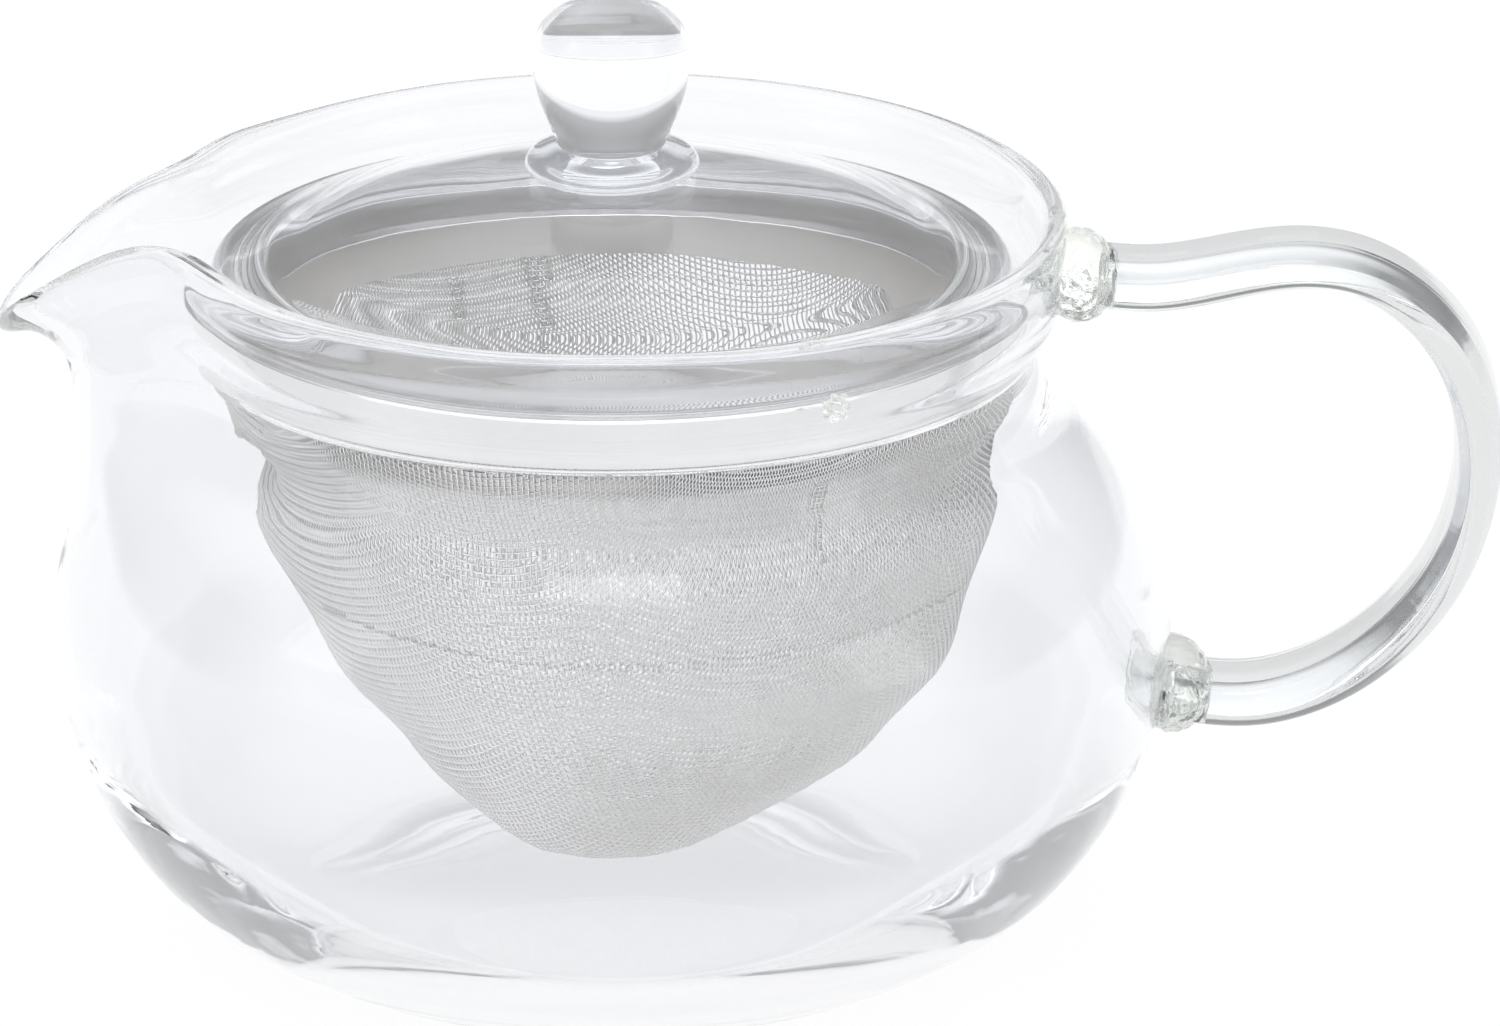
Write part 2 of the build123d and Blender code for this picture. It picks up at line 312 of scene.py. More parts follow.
# the blown pot, one wall from the base up to the rim and the lip
# its runs are (radius, height) in millimetres
pot = dict(
    wall=2.0,                # millimetres of glass
    rimSwell=0.4,            # extra glass in the fire-polished rim
    columns=288,
    steps=4,
    lipSector=66.0,          # degrees each side of -X that the drawn lip disturbs
    browRise=1.0,            # lift of the rim beside the lip
    browTurn=25.0,
    browWidth=13.0,
    leanLimit=1.7,           # most that the wall is widened where it runs out to the lip
    crown=[38, 90, 142],     # degrees round the rim
    crease=6,                # station of the fold that the infuser hangs on
    # the fold from below, its nose and its top
    ledge=[(43.75, 62.3), (42.05, 66.25), (43.55, 66.85)],
    ledgeGap=27.0,           # degrees each side of the lip without the fold
    ledgeEase=9.0,           # degrees over which it runs out
    waver=0.10,              # unevenness of the inside face
    waves=[(1.0, 3, 0.11, 0.0), (0.6, 7, -0.17, 0.0), (0.4, 11, 0.05, 2.0)],
    waverFade=30,            # rows before the middle of the floor
    base=[(0, 0.9), (9, 0.85), (19, 0.6), (27, 0.2), (31.5, 0.02), (34.5, 0.07), (37.8, 0.7),
          (40.9, 2.2)],
    belly=[(46.95, 6), (52.45, 12), (56.12, 18), (58.47, 24), (59.66, 30), (59.88, 36),
           (59.4, 40.5)],
    floor=[(56.5, 44), (57.4, 40.5), (57.9, 36), (57.66, 30), (56.47, 24), (54.0, 19), (50.2, 13.8),
           (44.4, 8.3), (38.4, 4.5), (32, 2.9), (22, 2.7), (10, 2.9), (0, 2.95)],
    round=[(58.5, 44), (56.7, 48.5), (54.2, 52.2), (51.1, 55.4), (48.0, 58.3), (45.9, 61.7),
           (45.0, 65.7), (46.5, 67.9), (47.7, 70.4), (48.1, 74.6), (48.5, 78.9)],
    lip=[(58.5, 44), (57.9, 47.6), (57.6, 51), (57.5, 54), (57.5, 57), (57.6, 60), (57.9, 62.6),
         (58.8, 64.8), (60.2, 66.2), (62.2, 66.9), (64.4, 66.7)],
    fadeOut=[24, 24, 23, 22, 20.5, 19, 17, 15, 13.5, 12.2, 11.1],
    fadeDown=[24, 24, 23, 21, 19, 17, 14.5, 12, 10.5, 9, 8],
)


def lipFade(turn, width):
    edge = math.exp(-((pot["lipSector"] / width) ** 2))
    return np.clip((np.exp(-((turn / width) ** 2)) - edge) / (1 - edge), 0, 1)


def upperWall(turn):
    # outside of shoulder, neck, collar and lip, by heading and station
    count = len(pot["round"])
    stations = []
    for k in range(count):
        (r0, z0), (r1, z1) = pot["round"][k], pot["lip"][k]
        down = lipFade(turn, pot["fadeDown"][k])
        beside = np.exp(-(((turn - pot["browTurn"]) / pot["browWidth"]) ** 2))
        brow = pot["browRise"] * (k / (count - 1)) ** 3 * beside
        brow = np.where(turn < pot["lipSector"], brow, 0)
        r = r0 + (r1 - r0) * lipFade(turn, pot["fadeOut"][k])
        z = z0 + (z1 - z0) * down + brow * (1 - down)
        stations.append(np.stack([r, z], axis=1))
    return np.stack(stations, axis=1)


def insideOf(outer, turn):
    # the same run, one glass thickness in, square to the real wall and not to the radial plane
    along = np.gradient(outer, axis=1)
    length = np.linalg.norm(along, axis=2)
    inward = np.stack([-along[..., 1], along[..., 0]], axis=2) / length[..., None]
    inward[:, 0] = (-1, 0)
    count = outer.shape[1]
    spread = np.radians(360.0 / len(turn))
    across = (np.roll(outer[..., 0], -1, axis=0) - np.roll(outer[..., 0], 1, axis=0)) / (2 * spread)
    lean = np.minimum(np.sqrt(1 + (across / outer[..., 0]) ** 2), pot["leanLimit"])
    swell = pot["rimSwell"] * (np.arange(count) / (count - 1)) ** 4
    return outer + inward * ((pot["wall"] + swell)[None, :, None] * lean[..., None])


def fixedRun(points, columns):
    return np.repeat(np.array(points, float)[None], columns, axis=0)


def makePot():
    columns = pot["columns"]
    heading = np.linspace(0, 360, columns, endpoint=False)
    turn = np.abs(heading - 180)     # degrees away from the middle of the lip
    outer = upperWall(turn)
    inner = insideOf(outer, turn)
    # rounded crown of the rim
    a, b = outer[:, -1], inner[:, -1]
    across = b - a
    over = np.stack([across[:, 1], -across[:, 0]], axis=1)
    crown = [(a + b) / 2 + over / 2 * math.sin(t) - across / 2 * math.cos(t)
             for t in np.radians(pot["crown"])]
    crown = np.stack(crown, axis=1)
    # the fold of the crease, run out towards the lip
    fold = np.clip((turn - pot["ledgeGap"]) / pot["ledgeEase"], 0, 1)
    fold = (fold * fold * (3 - 2 * fold))[:, None]
    k = pot["crease"]
    free = (inner[:, k - 1], inner[:, k], (inner[:, k] + inner[:, k + 1]) / 2)
    ledge = [run * (1 - fold) + np.array(point) * fold for run, point in zip(free, pot["ledge"])]
    inside = np.concatenate([inner[:, 1:k - 1], np.stack(ledge, axis=1), inner[:, k + 1:]], axis=1)
    profile = np.concatenate([
        fixedRun(pot["base"] + pot["belly"], columns), outer, crown, inside[:, ::-1],
        fixedRun(pot["floor"], columns)], axis=1)
    profile = smoothRun(profile, pot["steps"])
    # the inside face wavers a little, the outside keeps its size
    outside = len(pot["base"]) + len(pot["belly"]) + outer.shape[1] + len(pot["crown"])
    rows = np.arange(profile.shape[1])
    share = (rows > outside * pot["steps"]) * np.clip((len(rows) - rows) / pot["waverFade"], 0, 1)
    drift = waver(pot["waves"], np.radians(heading)[:, None], profile[..., 1])
    profile[..., 0] += pot["waver"] * drift * share[None]
    profile[:, 0, 0] = 0
    profile[:, -1, 0] = 0
    verts, faces = spin(profile, columns)
    return meshObject("pot_bowl_glass", verts, faces, clearGlass, "pot",
                      ["pot_bowl", "pot_collar", "pouring_lip"])


makePot()


# the pulled handle, its line as (x, height) in millimetres
handle = dict(
    wide=12.9,
    thick=5.4,
    square=2.7,              # 2 is an ellipse, more is boxier
    flutes=0.17,             # long grooves left by pulling
    grooves=(1.9, 3.0),      # turn of the grooves by millimetres across, and along the handle
    swell=(0.03, 17.0),      # uneven thickness along the handle, and its rate
    waist=0.05,              # thinner in the middle of the loop
    narrow=(0.98, 0.02, 9.0),   # share of the full width, its change and its rate
    deep=0.985,              # share of the full thickness, which leaves room for the grooves
    around=40,
    steps=12,
    line=[(51.3, 73), (57.7, 72.6), (65.3, 73.8), (72.8, 74.9), (79.4, 74), (85.3, 70.6),
          (89.6, 65.5), (92, 59.3), (92.6, 53.6), (91.6, 46.3), (88.7, 39.3), (83.5, 32.8),
          (76.5, 27.9), (68.7, 25.6), (59.6, 26.3)],
)


def makeHandle():
    path = smoothRun(handle["line"], handle["steps"])
    tangent = np.gradient(path, axis=0)
    tangent /= np.linalg.norm(tangent, axis=1)[:, None]
    swell, swellRate = handle["swell"]
    narrow, narrowBy, narrowRate = handle["narrow"]
    grooveAcross, grooveAlong = handle["grooves"]
    power = 2 / handle["square"]
    rings = []
    for k, (x, z) in enumerate(path):
        share = k / (len(path) - 1)
        waist = handle["waist"] * math.sin(math.pi * share) ** 2
        thick = 1 + swell * math.sin(share * swellRate) - waist
        width = narrow - narrowBy * math.sin(share * narrowRate)
        nx, nz = -tangent[k][1], tangent[k][0]
        ring = []
        for a in np.linspace(0, 2 * math.pi, handle["around"], endpoint=False):
            c, s = math.cos(a), math.sin(a)
            wide = math.copysign(abs(c) ** power, c) * handle["wide"] / 2 * width
            deep = math.copysign(abs(s) ** power, s) * handle["thick"] / 2 * thick * handle["deep"]
            deep += handle["flutes"] * math.cos(wide * grooveAcross + share * grooveAlong) * s
            ring.append((x + nx * deep, wide, z + nz * deep))
        rings.append(ring)
    verts = np.array(rings).reshape(-1, 3)
    around = handle["around"]
    faces = []
    for k in range(len(rings) - 1):
        for c in range(around):
            d = (c + 1) % around
            faces.append((k * around + c, k * around + d,
                          (k + 1) * around + d, (k + 1) * around + c))
    faces.append(tuple(range(around)))
    last = (len(rings) - 1) * around
    faces.append(tuple(range(last, last + around)))
    return meshObject("handle_loop_glass", verts * mm, faces, handleGlass, "pot",
                      ["handle_loop"])


# the gathers of glass that hold the handle, kept outside the wall of the pot
welds = dict(
    upper=dict(middle=(49.7, 73.0), size=(4.2, 8.3, 4.7), tilt=0.0, keepOut=("post", 47.2),
               seed=3.0),
    lower=dict(middle=(60.0, 26.6), size=(4.5, 8.1, 5.0), tilt=8.0, keepOut=("ball", 58.7),
               seed=11.0),
    ballHeight=36.0,         # middle of the ball that the lower one keeps out of
    wrinkle=0.42,            # depth of the folds left by pressing the glass on
    foldScale=(2.2, 5.0, 2.6),
    foldShare=0.26,
    fineScale=7.0,
    fineShare=0.03,
    poles=0.93,              # share of the full width at the two ends
    rows=48,
    columns=72,
)


def makeWeld(name, cadNode, weld):
    reach, across, tall = weld["size"]
    tilt = math.radians(weld["tilt"])
    x0, z0 = weld["middle"]
    rows, columns = welds["rows"], welds["columns"]
    foldX, foldY, foldZ = welds["foldScale"]
    verts = []
    for k in range(1, rows):
        up = math.pi * k / rows
        for c in range(columns):
            a = 2 * math.pi * c / columns
            d = Vector((math.sin(up) * math.cos(a), math.cos(up), math.sin(up) * math.sin(a)))
            spot = Vector((d.x * foldX, d.y * foldY, d.z * foldZ))
            fold = noise.noise(spot + Vector((weld["seed"], 0, 0)))
            fine = noise.noise(d * welds["fineScale"] + Vector((0, weld["seed"], 0)))
            rough = welds["foldShare"] * abs(fold) + welds["fineShare"] * abs(fine)
            grow = 1 - welds["wrinkle"] * rough
            x, y, z = d.x * reach * grow, d.y * across * grow, d.z * tall * grow
            verts.append((x, y, z))
    verts.append((0, across * welds["poles"], 0))
    verts.append((0, -across * welds["poles"], 0))
    kind, limit = weld["keepOut"]
    ball = welds["ballHeight"]
    out = []
    for x, y, z in verts:
        px = x0 + x * math.cos(tilt) + z * math.sin(tilt)
        pz = z0 - x * math.sin(tilt) + z * math.cos(tilt)
        if kind == "post":
            far = math.hypot(px, y)
            if far < limit:
                px *= limit / far
        else:
            far = math.sqrt(px * px + y * y + (pz - ball) ** 2)
            if far < limit:
                px, y, pz = px * limit / far, y * limit / far, ball + (pz - ball) * limit / far
        out.append((px, y, pz))
    faces = []
    for k in range(rows - 2):
        for c in range(columns):
            d = (c + 1) % columns
            faces.append((k * columns + c, k * columns + d,
                          (k + 1) * columns + d, (k + 1) * columns + c))
    top, bottom = (rows - 1) * columns, (rows - 1) * columns + 1
    for c in range(columns):
        d = (c + 1) % columns
        faces.append((top, d, c))
        faces.append((bottom, (rows - 2) * columns + c, (rows - 2) * columns + d))
    return meshObject(name, np.array(out) * mm, faces, meltedGlass, "pot",
                      [cadNode])


# the pressed star inside the collar that keeps the lid from sliding out
nub = dict(
    heading=-60.0,
    height=72.3,
    inner=45.1,
    radius=1.75,
    # depth outwards from the inner end, share of the radius
    layers=[(2.2, 1.0), (1.2, 0.95), (0.5, 0.72), (0.1, 0.4)],
    points=7,
    pointDepth=0.16,
    perPoint=6,
)


def makeNub():
    a0 = math.radians(nub["heading"])
    out = Vector((math.cos(a0), math.sin(a0), 0))
    side = Vector((-math.sin(a0), math.cos(a0), 0))
    columns = nub["points"] * nub["perPoint"]
    layers = nub["layers"]
    verts = []
    for depth, size in layers:
        for c in range(columns):
            a = 2 * math.pi * c / columns
            star = 1 - nub["pointDepth"] + nub["pointDepth"] * math.cos(a * nub["points"])
            r = nub["radius"] * size * star
            lift = Vector((0, 0, nub["height"] + r * math.sin(a)))
            verts.append(out * (nub["inner"] + depth) + side * (r * math.cos(a)) + lift)
    verts = [tuple(v) for v in verts]
    faces = []
    for k in range(len(layers) - 1):
        for c in range(columns):
            d = (c + 1) % columns
            faces.append((k * columns + c, k * columns + d,
                          (k + 1) * columns + d, (k + 1) * columns + c))
    faces.append(tuple(range(columns)))
    faces.append(tuple(range((len(layers) - 1) * columns, len(layers) * columns)))
    return meshObject("lid_stop_nub_glass", np.array(verts) * mm, faces, meltedGlass, "pot",
                      ["lid_stop_nub"])


makeHandle()
makeWeld("handle_upper_weld_glass", "handle_upper_weld", welds["upper"])
makeWeld("handle_lower_weld_glass", "handle_lower_weld", welds["lower"])
makeNub()


# the lid, the foot of its knob and the knob, as (radius, height)
lid = dict(
    steps=5,
    # name, CAD node, its run below, columns, unevenness
    parts=[("lid_dome_glass", "lid_dome", "shell", 192, [(0.04, 2, 0.2, 0), (0.03, 5, 0, 0)]),
           ("lid_knob_foot_glass", "lid_knob_foot", "foot", 96, [(0.08, 3, 0, 1)]),
           ("lid_knob_glass", "lid_knob", "knob", 96, [(0.05, 2, 0, 0)])],
    shell=[(0, 84.9), (5, 84.85), (14, 83.6), (26, 80.6), (36, 77.0), (40.6, 75.1), (41.9, 74.75),
           (42.65, 74.1), (42.8, 73.4), (42.6, 72.65), (41.9, 72.1), (40.8, 71.97), (39.6, 71.97),
           (38.95, 71.8), (38.65, 71.2), (38.6, 70.2), (38.58, 68.9), (38.45, 68.1), (38.0, 67.75),
           (37.6, 68.05), (37.45, 68.8), (37.4, 70.4), (37.38, 72.6), (37.3, 73.4), (37.0, 74.0),
           (36.5, 74.42), (35.4, 74.95), (33.5, 75.75), (31.7, 76.5), (25.3, 78.6), (13.6, 81.45),
           (4.9, 82.65), (0, 82.75)],
    foot=[(0, 84.95), (4, 84.9), (7.2, 84.6), (8.9, 84.75), (9.35, 85.3), (9.2, 86.1), (8.3, 86.9),
          (6.9, 87.35), (6.1, 87.6), (4, 87.75), (0, 87.8)],
    knob=[(0, 87.0), (3, 87.0), (5.3, 87.15), (5.65, 87.6), (6.1, 88.6), (7.1, 91.0), (8.1, 94.3),
          (8.4, 97.6), (7.7, 100.6), (5.0, 102.9), (2, 103.65), (0, 103.7)],
)


def makeLid():
    for name, cadNode, key, columns, waves in lid["parts"]:
        inset = sum(size for size, *_ in waves)      # so that no wave goes past the run
        run = smoothRun(lid[key], lid["steps"])
        run[0, 0] = run[-1, 0] = 0
        verts, faces = spin(run, columns, lambda a, z: waver(waves, a, z) - inset)
        meshObject(name, verts, faces, clearGlass, "lid", [cadNode])


makeLid()


# the folded rim and the band of the infuser
rim = dict(sheet=0.5, outer=43.1, top=71.9, low=67.05, mouth=39.55, leg=40.1, corner=0.55,
           mouthEdge=0.12, edge=0.1, columns=240)
band = dict(outer=39.5, sheet=0.5, top=71.9, low=62.4, lowEdge=0.12, edge=0.1, columns=240)


cornerPoints = 5


def cornerRun(points):
    # rounds each corner of a closed sheet section; a corner is (radius, height, rounding)
    out = []
    count = len(points)
    for k, (x, z, size) in enumerate(points):
        px, pz, _ = points[k - 1]
        nx, nz, _ = points[(k + 1) % count]
        if size <= 0:
            out.append((x, z))
            continue
        a = Vector((px - x, pz - z)).normalized() * size
        b = Vector((nx - x, nz - z)).normalized() * size
        for t in np.linspace(0, 1, cornerPoints):
            out.append((x + a.x * (1 - t) ** 2 + b.x * t ** 2,
                        z + a.y * (1 - t) ** 2 + b.y * t ** 2))
    return out


def makeRim():
    s, o, t, low = rim["sheet"], rim["outer"], rim["top"], rim["low"]
    leg, mouth, c, e = rim["leg"], rim["mouth"], rim["corner"], rim["edge"]
    section = [(mouth, t, rim["mouthEdge"]), (o, t, c), (o, low, e), (o - s, low, e),
               (o - s, t - s, c / 2), (leg + s, t - s, c / 2), (leg + s, low, e), (leg, low, e),
               (leg, t - s, e), (mouth, t - s, e)]
    verts, faces = spin(cornerRun(section), rim["columns"])
    return meshObject("infuser_rim_steel", verts, faces, polishedSteel, "infuser",
                      ["infuser_rim"])


def makeBand():
    o, i, t, low = band["outer"], band["outer"] - band["sheet"], band["top"], band["low"]
    e, foot, middle = band["edge"], band["lowEdge"], (low + t) / 2
    section = [(i, low, foot), (i, middle, 0), (i, t, e), (o, t, e), (o, middle, 0), (o, low, foot)]
    verts, faces = spin(cornerRun(section), band["columns"])
    return meshObject("infuser_band_steel", verts, faces, satinSteel, "infuser",
                      ["infuser_band"])


makeRim()
makeBand()
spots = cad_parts["band_spot_welds"]
spots.data.materials.clear()
spots.data.materials.append(satinSteel)


# the woven wire cloth of the basket
cloth = dict(
    pitch=0.64,              # from wire to wire
    wire=0.24,               # wire diameter
    sides=3,
    turn=-20.0,              # heading of one wire direction, degrees
    top=70.2,
    shift=1.5,               # the basket leans this far towards the handle at mid height
    line=[(0, 8.25), (7.4, 9.45), (13.75, 12.6), (18.65, 16.5), (23.4, 21.15), (27.5, 26.15),
          (30.9, 31.1), (33.8, 36.1), (36.25, 41.1), (38.75, 47.5), (39.25, 51), (38.7, 55),
          (39.05, 58.6), (39.8, 62), (39.8, 66), (39.8, 70.6)],
    steps=40,
    wallFrom=62,             # above this the cloth stands straight behind the band
    wallRadius=39.8,
    spare=(71, 110, 40),     # the wall run on upwards, so that the net can be cut at the top
    wallRows=200,
    splitAt=42,              # the wires are two pieces, below and above this height
    mouth=45,                # below this the outside of the bowl faces down as well as out
    crossing=0.96,           # share of the wire radius that a wire steps aside by
)


def clothLine():
    # depth along the cloth from its lowest point, with radius and height
    mirror = (-cloth["line"][1][0], cloth["line"][1][1])
    run = smoothRun([mirror] + cloth["line"], cloth["steps"])[cloth["steps"]:]
    run[:, 0] = np.where(run[:, 1] > cloth["wallFrom"], cloth["wallRadius"], run[:, 0])
    extra = np.array([(cloth["wallRadius"], z) for z in np.linspace(*cloth["spare"])])
    run = np.concatenate([run, extra])
    depth = np.concatenate([[0], np.cumsum(np.linalg.norm(np.diff(run, axis=0), axis=1))])
    return depth, run[:, 0], run[:, 1]


def onCloth(depth, heading):
    r = np.interp(depth, *lineTable[:2])
    z = np.interp(depth, lineTable[0], lineTable[2])
    return np.stack([r * np.cos(heading), r * np.sin(heading), z], axis=-1)


lineTable = clothLine()


# how the next crossing of the net is looked for
search = dict(
    margin=6.0,              # millimetres of net past the top
    rounds=12,               # tries for each crossing
    nudge=1e-4,              # small move that shows which way the gaps grow
    flattest=1e-3,           # keeps a try from being thrown far off
    leastDepth=0.3,
    depthStep=0.3,           # longest move in one try, down the cloth
    turnStep=0.015,          # and round the axis, in radians
    allowed=0.02,            # error in a wire gap that still counts as found
    closest=0.25,            # share of the pitch that two crossings stay apart
)


def drapeQuarter():
    # lays a square net over the bowl: each crossing is one pitch from its two neighbours
    pitch = cloth["pitch"]
    wall = slice(-cloth["wallRows"], None)
    limit = float(np.interp(cloth["top"], lineTable[2][wall], lineTable[0][wall]))
    count = int((limit + search["margin"]) / pitch)
    depth = np.full((count, count), np.nan)
    heading = np.full((count, count), np.nan)
    place = np.full((count, count, 3), np.nan)
    steps = np.arange(count) * pitch
    for fixed, turned in ((0, 0.0), (1, math.pi / 2)):
        where = (slice(None), 0) if fixed == 0 else (0, slice(None))
        depth[where] = steps
        heading[where] = turned
        place[where] = onCloth(steps, np.full(count, turned))
    for total in range(2, 2 * count - 1):
        i = np.arange(max(1, total - count + 1), min(total - 1, count - 1) + 1)
        j = total - i
        back, left, corner = place[i - 1, j], place[i, j - 1], place[i - 1, j - 1]
        good = ~np.isnan(back[:, 0] + left[:, 0] + corner[:, 0])
        i, j, back, left, corner = i[good], j[good], back[good], left[good], corner[good]
        if len(i) == 0:
            continue
        guess = back + left - corner
        s = depth[i - 1, j] + depth[i, j - 1] - depth[i - 1, j - 1]
        s = np.maximum(s, search["leastDepth"])
        a = np.arctan2(guess[:, 1], guess[:, 0])
        small, flattest = search["nudge"], search["flattest"]
        for _ in range(search["rounds"]):
            here = gapError(s, a, back, left, pitch)
            ds = (gapError(s + small, a, back, left, pitch) - here) / small
            da = (gapError(s, a + small, back, left, pitch) - here) / small
            det = ds[:, 0] * da[:, 1] - ds[:, 1] * da[:, 0]
            det = np.where(np.abs(det) < flattest, np.where(det < 0, -flattest, flattest), det)
            stepS = (here[:, 1] * da[:, 0] - here[:, 0] * da[:, 1]) / det
            stepA = (here[:, 0] * ds[:, 1] - here[:, 1] * ds[:, 0]) / det
            s = s + np.clip(stepS, -search["depthStep"], search["depthStep"])
            a = a + np.clip(stepA, -search["turnStep"], search["turnStep"])
        found = onCloth(s, a)
        wrong = np.abs(gapError(s, a, back, left, pitch)).max(axis=1) > search["allowed"]
        wrong |= np.linalg.norm(found - corner, axis=1) < search["closest"] * pitch
        found[wrong] = np.nan
        s[wrong] = np.nan
        depth[i, j], heading[i, j], place[i, j] = s, a, found
    heading[np.isnan(depth)] = np.nan
    return depth, heading, limit


def gapError(s, a, back, left, pitch):
    here = onCloth(s, a)
    return np.stack([np.linalg.norm(here - back, axis=1) - pitch,
                     np.linalg.norm(here - left, axis=1) - pitch], axis=1)


def wholeCloth():
    depth, heading, limit = drapeQuarter()
    count = len(depth)
    index = np.arange(-(count - 1), count)
    u, v = np.meshgrid(index, index, indexing="ij")
    s = depth[np.abs(u), np.abs(v)]
    a = heading[np.abs(u), np.abs(v)]
    a = np.where(u < 0, math.pi - a, a)
    a = np.where(v < 0, -a, a)
    a = a + math.radians(cloth["turn"])
    return u, v, s, a, limit


# how the cloth has settled in use; sizes in millimetres outwards
settled = dict(
    # pressed all round: height, size, spread
    ridges=[(59.3, 0.32, 0.42), (57.5, 0.32, 0.42)],
    # at the lip side: height, size, spread in heading and in height
    dents=[(54.3, -2.6, 0.20, 3.4), (47.5, 0.5, 0.25, 4.0)],
    dentHeading=186,         # degrees
    belly=(26, 3.0, 1.1, 15),   # the same, towards the handle
    waves=[(0.14, 5, 0.10, 0.0), (0.10, 9, -0.21, 1.0), (0.05, 17, 0.33, 0.0)],
    freeBelow=(61.5, 8),     # where the cloth starts to move, and the run until it moves fully
    freeOutside=12,          # the middle of the bowl stays put up to this radius
    # the lean grows downwards from the band over the second figure, and fades again at the foot
    leanBelow=(62, 14),
    leanAbove=(8, 12),
)


def usedCloth(points):
    # the cloth as it hangs: it leans, has two pressed ridges, a dent at the lip side and slow waves
    x, y, z = points[..., 0], points[..., 1], points[..., 2]
    r = np.hypot(x, y)
    a = np.arctan2(y, x)
    freeTop, freeRun = settled["freeBelow"]
    free = np.clip((freeTop - z) / freeRun, 0, 1) * np.clip(r / settled["freeOutside"], 0, 1)
    push = np.zeros_like(z)
    for height, size, spread in settled["ridges"]:
        push = push + size * np.exp(-((z - height) / spread) ** 2)
    away = np.angle(np.exp(1j * (a - math.radians(settled["dentHeading"]))))
    for height, size, spread, tall in settled["dents"]:
        push = push + size * np.exp(-(away / spread) ** 2 - ((z - height) / tall) ** 2)
    height, size, spread, tall = settled["belly"]
    push = push + size * free * np.exp(-(a / spread) ** 2 - ((z - height) / tall) ** 2)
    push = push + free * waver(settled["waves"], a, z)
    grow = np.where(r > nearAxis, (r + push) / np.maximum(r, nearAxis), 1)
    (leanTop, topRun), (leanFoot, footRun) = settled["leanBelow"], settled["leanAbove"]
    share = np.clip((leanTop - z) / topRun, 0, 1) * np.clip((z - leanFoot) / footRun, 0, 1)
    return np.stack([x * grow + cloth["shift"] * share, y * grow, z], axis=-1)


def wirePieces():
    u, v, s, a, limit = wholeCloth()
    flatPlace = onCloth(np.nan_to_num(s), np.nan_to_num(a))
    place = usedCloth(flatPlace)
    good = ~np.isnan(s) & (s <= limit)
    place[~good] = np.nan

    def slopes(axis):
        ahead = np.roll(place, -1, axis=axis)
        behind = np.roll(place, 1, axis=axis)
        ahead = np.where(np.isnan(ahead), place, ahead)
        behind = np.where(np.isnan(behind), place, behind)
        run = ahead - behind
        return run / np.maximum(np.linalg.norm(run, axis=-1), 1e-9)[..., None]

    alongU, alongV = slopes(0), slopes(1)
    out = np.cross(alongU, alongV)
    out /= np.maximum(np.linalg.norm(out, axis=-1), 1e-9)[..., None]
    # the outside of the bowl faces down and away from the axis
    down = np.minimum(place[..., 2] - cloth["mouth"], 0)
    outward = np.stack([place[..., 0], place[..., 1], down], axis=-1)
    out = np.where((np.sum(out * outward, axis=-1) < 0)[..., None], -out, out)
    over = np.where((u + v) % 2 == 0, 1.0, -1.0)[..., None]
    radius = cloth["wire"] / 2
    makePleats(radius)
    jobs = (("warp", alongU, over, 0), ("weft", alongV, -over, 1))
    for name, along, side, axis in jobs:
        middle = place + out * side * radius * cloth["crossing"]
        beside = np.cross(along, out)
        low = place[..., 2] < cloth["splitAt"]
        high = place[..., 2] >= cloth["splitAt"]
        for part, keep in (("lower", low), ("upper", high)):
            makeWires(name + "_" + part, middle, out, beside, good, keep, axis, radius)


pleats = dict(
    pitch=0.56,
    away=0.42,               # clear of the cloth it is folded from
    wander=(0.25, 1.1),      # sideways drift of a fold, and its rate by height
    # heading, lowest and highest point, width at the top and at the foot, side of the cloth
    folds=[(103, 50.5, 63.0, 3.6, 0.9, -1), (117, 56.5, 61.0, 2.2, 1.2, -1),
           (-57.5, 52.0, 62.0, 2.4, 0.9, 1)],
)


def makePleats(radius):
    # spare cloth folded flat against the wall where the net is squeezed most
    pitch = pleats["pitch"]
    drift, driftRate = pleats["wander"]
    for number, fold in enumerate(pleats["folds"], start=1):
        heading, low, high, wideTop, wideFoot, side = fold
        rows = int((high - low) / pitch) + 1
        columns = int(wideTop / pitch) + 2
        z = low + np.arange(rows)[:, None] * pitch + np.zeros((1, columns))
        share = (z - low) / (high - low)
        wide = wideFoot + (wideTop - wideFoot) * share
        across = (np.arange(columns)[None, :] - (columns - 1) / 2) * pitch
        wander = drift * np.sin(z * driftRate + number)
        r = np.interp(z, lineTable[2], lineTable[1]) + side * pleats["away"]
        a = math.radians(heading) + (across + wander) / r
        flatPlace = np.stack([r * np.cos(a), r * np.sin(a), z], axis=-1)
        place = usedCloth(flatPlace)
        good = np.abs(across) <= wide / 2
        out = np.stack([np.cos(a), np.sin(a), 0 * a], axis=-1)
        upward = np.stack([0 * a, 0 * a, 1 + 0 * a], axis=-1)
        sideways = np.cross(upward, out)
        odd = np.add.outer(np.arange(rows), np.arange(columns)) % 2
        over = np.where(odd == 0, 1.0, -1.0)[..., None]
        whole = np.full(good.shape, True)
        for name, along, lift, axis in (("up", upward, over, 0), ("across", sideways, -over, 1)):
            middle = place + out * lift * radius * cloth["crossing"]
            beside = np.cross(along, out)
            makeWires("pleat" + str(number) + "_" + name, middle, out, beside, good, whole, axis,
                      radius)


